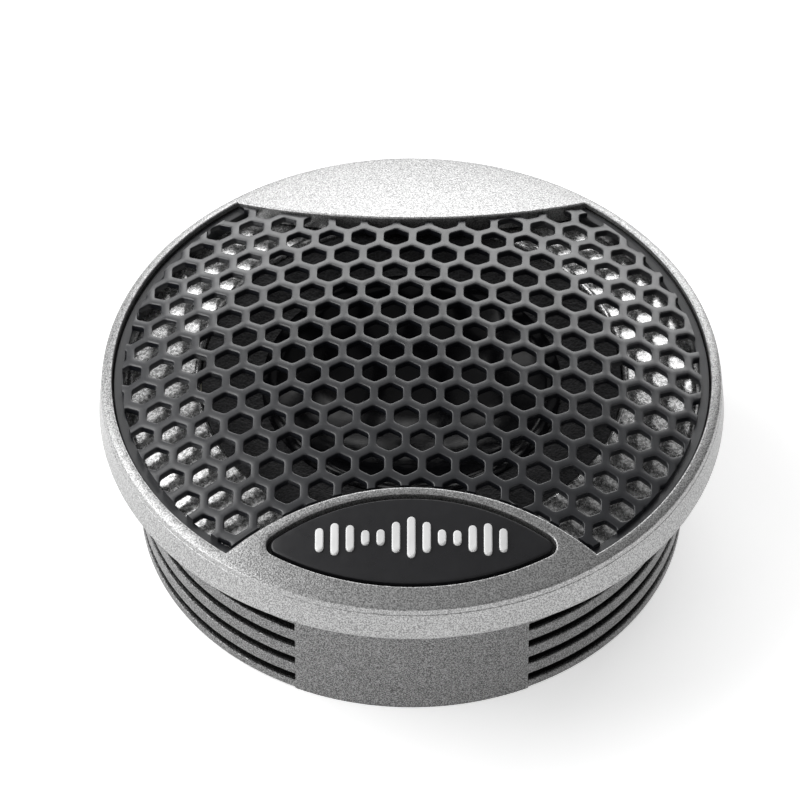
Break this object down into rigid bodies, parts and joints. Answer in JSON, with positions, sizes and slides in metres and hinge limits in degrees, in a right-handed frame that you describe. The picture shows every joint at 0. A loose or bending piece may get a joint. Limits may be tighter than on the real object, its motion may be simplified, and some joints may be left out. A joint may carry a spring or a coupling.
{
  "type": "car tweeter",
  "caption": "Round flush-mount car tweeter with an inverted dome behind a domed hexagonal-hole grille, a crescent and a badge frame, on a grooved barrel.",
  "frame": {"origin": "centre of the rear rim, on the surface that the tweeter stands on", "axes": "+Z out of the grille along the axis of the dome, -Y towards the badge"},
  "size_m": [0.046, 0.046, 0.0172],
  "materials": {
    "silver_paint": "satin, fine metallic speckle",
    "silver_flare": "satin, coarse metallic speckle",
    "grille_black": "satin",
    "badge_black": "satin",
    "badge_white": "satin",
    "seal_rubber": "matt",
    "foam_black": "granular foam",
    "dome_metal": "glossy dark anodised",
    "former_film": "polyimide film",
    "copper_wire": "enamelled copper",
    "moulded_black": "moulded plastic",
    "yoke_steel": "zinc plated",
    "magnet_nickel": "nickel plated",
    "felt_grey": "felt",
    "tinned_brass": "tinned",
    "board_brown": "phenolic board",
    "wire_red": "insulation",
    "wire_black": "insulation",
    "screw_zinc": "zinc plated"
  },
  "bodies": {
    "tweeter": {"housing": "silver_paint", "bezel_ring": "silver_paint", "bezel_seal": "seal_rubber", "badge_plate": "badge_black", "badge_emblem": "badge_white", "grille": "grille_black", "flare_ring": "silver_flare", "chassis": "moulded_black", "diaphragm_mounting_ring": "moulded_black", "yoke_pot": "yoke_steel", "magnet_disc": "magnet_nickel", "pole_plate": "yoke_steel", "pole_damping_pad": "felt_grey", "rear_chamber_felt": "felt_grey", "surround_foam": "foam_black", "tinsel_lead_positive": "copper_wire", "tinsel_lead_negative": "copper_wire", "solder_tab_positive": "tinned_brass", "solder_tab_negative": "tinned_brass", "hookup_wire_positive": "wire_red", "hookup_wire_negative": "wire_black", "terminal_positive": "tinned_brass", "terminal_negative": "tinned_brass", "terminal_board": "board_brown", "terminal_rivets": "tinned_brass", "rear_cover": "moulded_black", "cover_screws": "screw_zinc"},
    "diaphragm": {"dome_diaphragm": "dome_metal", "voice_coil_former": "former_film", "voice_coil_winding": "copper_wire"}
  },
  "joints": [
    {"name": "diaphragm_travel", "type": "slide", "parent": "tweeter", "child": "diaphragm", "axis": [0, 0, 1], "range_m": [-0.0003, 0.0003], "stiffness_N_per_m": 3000, "deforming": ["surround_foam", "tinsel_lead_positive", "tinsel_lead_negative"]}
  ]
}
